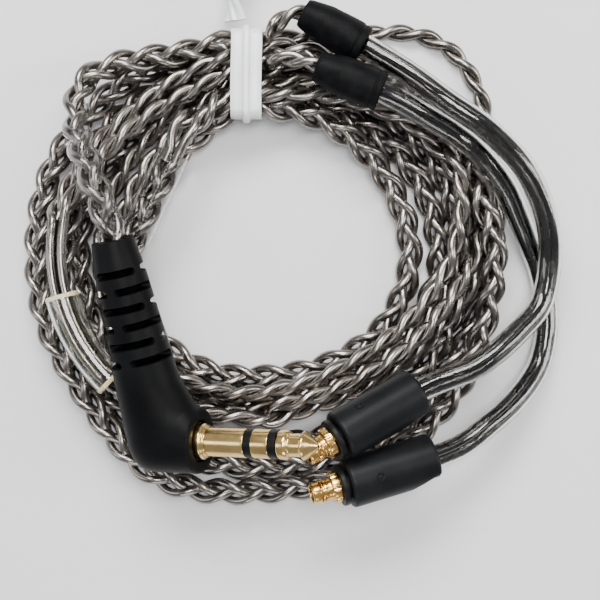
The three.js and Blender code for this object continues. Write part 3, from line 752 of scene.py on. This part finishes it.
def hose(line, outer, inner, step=0.3, sides=32):
    """A clear tube round a line, closed at both ends. `outer(s, angle)` and `inner(s, angle)` give its
    radii, the angle counted from the line's left-hand side upwards."""
    s, core, run, left, up = carried(line, step)
    angle = np.linspace(0, 2 * np.pi, sides, endpoint=False)
    way = np.cos(angle)[:, None] * left[:, None] + np.sin(angle)[:, None] * up[:, None]
    out_r, in_r = (f(s[:, None], angle) + 0 * s[:, None] * angle for f in (outer, inner))
    rim = np.clip(np.minimum(s, s[-1] - s) / 0.12, 0, 1)[:, None] ** 0.5
    out_r = in_r + (out_r - in_r) * (0.6 + 0.4 * rim)
    outside, inside = (core[:, None] + way * r[..., None] for r in (out_r, in_r))
    shell = np.concatenate([outside, inside[::-1]])
    lay = np.column_stack([
        np.repeat(np.concatenate([s, s[::-1]]), sides), np.tile(angle / (2 * np.pi), 2 * len(s)),
    ])
    return shell.reshape(-1, 3), net(2 * len(s), sides, True), lay


def stretch_of(line, first, last):
    """The part of a line between the points nearest to two places."""
    a, b = (int(np.argmin(np.linalg.norm(line - np.asarray(p), axis=1))) for p in (first, last))
    return line[min(a, b):max(a, b) + 1], min(a, b)


def wraps(offset, slack):
    """Radius of a tight skin round the braid's four strands. The skin starts `offset` millimetres along
    the braid, and stands `slack` millimetres off the strands."""
    def radius(s, angle):
        reach = [x * np.cos(angle) + y * np.sin(angle) for x, y in plait(s + offset)]
        return np.maximum.reduce(reach) + 0.54 + slack
    return radius


shrink_line, first = stretch_of(braid_line, on_boot(25.2), [-22.0, 16.0, 11.6])
offset = lengths_of(braid_line)[first]
points, faces, lay = hose(shrink_line, wraps(offset, 0.17), wraps(offset, 0.05), 0.2, 48)
finish_piece(new_piece("plug_shrink_tube", points, faces, lay, 60), clear_skin, "clear_shrink", "plug_shrink")

split_line = smooth_line([split_middle - split_run * 5.7, split_middle, split_middle + split_run * 5.7], 1.0)
points, faces, lay = hose(
    split_line,
    lambda s, angle: 1.93 + 0.05 * np.cos(2 * angle) + 0.03 * np.sin(1.1 * s),
    lambda s, angle: 1.76 + 0.05 * np.cos(2 * angle) + 0.03 * np.sin(1.1 * s),
)
finish_piece(new_piece("split_tube", points, faces, lay, 60), clear_skin, "clear_shrink", "y_split_sleeve")

# ---- Chin slider ------------------------------------------------------------------------------------
# A short loose length of clear soft tube over both pairs. Its thick wall is a little yellow at the cut
# ends, and it slides along the pairs.
slider_clear = surface(
    "slider_clear", (0.93, 0.93, 0.87), (0.97, 0.97, 0.93), 4.0, (0.02, 0.07), 2.4, 0.02,
    Transmission_Weight=1.0, IOR=1.5,
)
slider_edge = surface(
    "slider_edge", (0.66, 0.56, 0.3), (0.84, 0.76, 0.5), 0.8, (0.2, 0.35), 0.3, 0.008,
    Transmission_Weight=0.35, IOR=1.4,
)
reach = math.degrees(12.5 / 2 / 22)
slider_line = slider_arc(np.linspace(210.4 + reach, 210.4 - reach, 12))
slider_sides = 40
points, faces, lay = hose(
    slider_line,
    lambda s, angle: 2.15 + 0.03 * np.cos(2 * angle + 0.3 * s),
    lambda s, angle: 1.78 + 0 * s,
    0.25, slider_sides,
)
slider = new_piece("slider_tube", points, faces, lay, 60)
slider.data.materials.append(slider_clear)
slider.data.materials.append(slider_edge)
rows = len(points) // slider_sides
where = np.arange(len(slider.data.polygons)) // slider_sides
from_rim = np.minimum(np.abs(where - (rows // 2 - 1)), np.minimum(where + 1, rows - 1 - where))
at_end = from_rim < 3
slider.data.polygons.foreach_set("material_index", at_end.astype(int))
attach(slider, "slider")
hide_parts("chin_slider")

# ---- Ear tubes --------------------------------------------------------------------------------------
# A clear soft tube over the last stretch of each pair, formed into the hook that lies over the ear. The
# two wires inside are dark, and almost fill it. They turn slowly round each other.
tube_clear = surface(
    "tube_clear", (0.78, 0.78, 0.775), (0.86, 0.86, 0.855), 5.0, (0.02, 0.06), 3.0, 0.03,
    Transmission_Weight=1.0, IOR=1.42,
)
dark_wire = surface(
    "dark_wire", (0.012, 0.011, 0.01), (0.03, 0.027, 0.024), 7.0, (0.22, 0.36), 1.2, 0.004,
    Metallic=0.8, Coat_Weight=0.45, Coat_Roughness=0.12,
)
ridges(dark_wire, 0.3, 11, 0.003, 0.8)
for ear, knots in ear_tube_knots.items():
    tube_line = smooth_line(knots, 1.2)
    points, faces, lay = hose(
        tube_line,
        lambda s, angle: 1.47 + 0.02 * np.sin(0.5 * s + angle),
        lambda s, angle: 1.2 + 0 * s,
        0.5, 36,
    )
    tube = new_piece(f"hook_tube_{ear}", points, faces, lay)
    finish_piece(tube, tube_clear, "clear_tube", f"ear_tube_{ear}")
    start = 0.6 if ear == "right" else 1.1

    def slow(s, start=start):
        """Places of the two wires across the tube, which swing a little as they run."""
        w = 0.45 * np.sin(start + s / 7.5) + 0.2 * np.sin(s / 3.1)
        return [(0.6 * np.cos(w + np.pi * k), 0.6 * np.sin(w + np.pi * k)) for k in range(2)]

    points, faces, lay, core = strands(tube_line, slow, 0.59, 0.5, 16)
    finish_piece(
        new_piece(f"hook_wires_{ear}", points, faces, lay), dark_wire, "dark_wire",
        f"ear_wire_{ear}_a", f"ear_wire_{ear}_b",
    )

# ---- Ear sleeves ------------------------------------------------------------------------------------
# A tapered black rubber sleeve where each pair enters its ear tube, with a thin lip at the wide end.
scuffed_rubber = surface(
    "scuffed_rubber", (0.0014, 0.0015, 0.0018), (0.0042, 0.0044, 0.005), 1.6, (0.42, 0.6), 0.22, 0.02,
    Specular_IOR_Level=0.05,
)
sleeve_ends = {
    "right": ([5.1, 31.0, 8.2], [11.8, 27.3, 8.2]),
    "left": ([6.7, 24.1, 10.5], [14.6, 21.0, 10.5]),
}
for ear, (back, front) in sleeve_ends.items():
    way = unit(np.subtract(front, back).astype(float))
    side = unit(np.cross([0, 0, 1], way))
    turn = np.stack([way, side, np.cross(way, side)], -1)
    points, faces, lay = turned([
        (0, 1.28), (-0.02, 1.7), (0.35, 1.86), (3.1, 2.42), (6.9, 2.5), (7.35, 2.48), (7.45, 2.36),
        (7.6, 2.36), (7.7, 2.46), (8.3, 2.42), (8.42, 2.2), (8.42, 1.75), (5.0, 1.75), (5.0, 1.28),
    ], 0.12, longest=0.35)
    points[:, 1:] *= 1 + 0.008 * np.sin(points[:, :1] * 1.3 + (0 if ear == "right" else 2))
    cuff = new_piece(f"cuff_{ear}", points @ turn.T + back, faces, lay)
    finish_piece(cuff, scuffed_rubber, "sleeve_rubber", f"ear_sleeve_{ear}")

# ---- Connectors -------------------------------------------------------------------------------------
# A black moulded barrel at the end of each ear tube, with a flat on its underside and a raised mark for
# the side. From a dark collar in its face stands the gold coaxial contact, with a sprung snap ring.
moulded_black = surface(
    "moulded_black", (0.0034, 0.0037, 0.0045), (0.0064, 0.0068, 0.0078), 3.0, (0.34, 0.46), 0.14, 0.006,
    Specular_IOR_Level=0.1,
)
white_plastic = surface("white_plastic", (0.7, 0.7, 0.68), (0.8, 0.8, 0.78), 0.6, (0.3, 0.45), 0.1, 0.004)
contact_gold = surface(
    "contact_gold", (0.58, 0.34, 0.09), (0.74, 0.47, 0.15), 1.2, (0.16, 0.26), 0.4, 0.001,
    Metallic=1.0, Coat_Weight=0.15, Coat_Roughness=0.12,
)
ends = {
    "right": ([9.3, -20.2, 13.1], 208.2, 16, -20, -3.4, 156),
    "left": ([10.3, -26.0, 11.2], 195.2, 12, 0, -3.6, 90),
}


def flat_under(x, angle, r):
    """Planes the barrel off at 18 degrees over its last four millimetres."""
    limit = 3.05 + math.tan(math.radians(18)) * (x + 7.2)
    upward = r * np.cos(angle)
    over = (upward > limit) & (x < -7.2) & (r > 2.4)
    return np.where(over, np.maximum(limit / np.maximum(np.cos(angle), 0.2), 2.4), r)


def castle(x, angle, r):
    """Eight notches in the wide ring at the contact's foot."""
    notch = 0.16 * np.clip(4 * np.cos(8 * angle) - 2.2, 0, 1) * (r > 1.6) * (x > 1.3)
    return r - notch


for ear, (front, heading, tilt, roll, mark_at, mark_turn) in ends.items():
    turn = np.array(
        Matrix.Rotation(math.radians(heading), 3, "Z") @ Matrix.Rotation(math.radians(-tilt), 3, "Y")
        @ Matrix.Rotation(math.radians(roll), 3, "X")
    )

    def on_end(points):
        """Points of the connector's own frame, with its barrel along X, in the coil's frame."""
        return np.asarray(points, float) @ turn.T + front

    points, faces, lay = turned([
        (-11.2, 1.8), (-11.2, 2.75), (-10.95, 3.05), (-0.28, 3.05), (0, 2.8), (0, 1.75), (-7.8, 1.75),
        (-7.8, 1.8),
    ], 0.22, 96, 0.22, flat_under)
    mark, mark_faces, mark_lay = turned([
        (2.6, 0), (3.16, 0), (3.16, 0.16), (3.1, 0.24), (3.1, 0.3), (3.19, 0.36), (3.19, 0.46),
        (3.0, 0.52), (2.6, 0.52), (2.6, 0),
    ], 0.04, 32, 0.3, first=len(points))
    a = math.radians(mark_turn)
    stand = np.array([[0, -1, 0], [math.cos(a), 0, -math.sin(a)], [math.sin(a), 0, math.cos(a)]])
    mark = mark @ stand.T + [mark_at, 0, 0]
    both, both_lay = np.vstack([points, mark]), np.vstack([lay, mark_lay])
    barrel = new_piece(f"barrel_{ear}", on_end(both), faces + mark_faces, both_lay)
    finish_piece(barrel, moulded_black, "housing_plastic", f"housing_{ear}")
    for name, profile, material, slot_name, node, shape in [
        ("collar", [(-3.0, 1.5), (-3.0, 1.65), (0.3, 1.65), (0.3, 2.45), (0.45, 2.52), (0.9, 2.52),
                    (1.05, 2.4), (1.05, 1.5)],
         black_ring, "housing_plastic", "collar", None),
        ("shell", [(-2.6, 0.98), (-2.6, 1.4), (1.15, 1.4), (1.15, 1.9), (2.0, 1.9), (2.0, 1.42), (2.15, 1.35),
                   (2.45, 1.35), (2.5, 1.28), (2.65, 1.28), (2.7, 1.35), (3.0, 1.35), (3.0, 1.12), (3.5, 1.12),
                   (3.5, 1.35), (4.3, 1.35), (4.5, 1.2), (4.5, 0.98)],
         contact_gold, "gold_plate", "contact", castle),
        ("core", [(-2.4, 0.38), (-2.4, 0.88), (3.4, 0.88), (3.4, 0.38)],
         white_plastic, "insulator_plastic", "insulator", None),
        ("needle", [(-3.2, 0), (-3.2, 0.28), (3.9, 0.28), (4.1, 0.12), (4.1, 0)],
         contact_gold, "gold_plate", "pin", None),
    ]:
        points, faces, lay = turned(profile, 0.05, 96 if shape else 56, 0.4, shape)
        thing = new_piece(f"{name}_{ear}", on_end(points), faces, lay, 50)
        finish_piece(thing, material, slot_name, f"{node}_{ear}")
    ring_rows, bead_sides = 60, 12
    open_turn = np.radians(np.linspace(25, 335, ring_rows))
    bead = np.linspace(0, 2 * np.pi, bead_sides, endpoint=False)
    across = 1.35 + 0.14 * np.cos(bead)
    ring = np.stack([
        3.25 + 0.16 * np.sin(bead) + 0 * open_turn[:, None],
        across * np.sin(open_turn)[:, None], across * np.cos(open_turn)[:, None],
    ], -1)
    lay = np.column_stack([
        np.repeat(open_turn * 1.35, bead_sides), np.tile(bead / (2 * np.pi), ring_rows),
    ])
    spring = new_piece(f"spring_{ear}", on_end(ring.reshape(-1, 3)), net(ring_rows, bead_sides), lay, 60)
    finish_piece(spring, contact_gold, "gold_plate", f"snap_ring_{ear}", body=f"snap_{ear}")
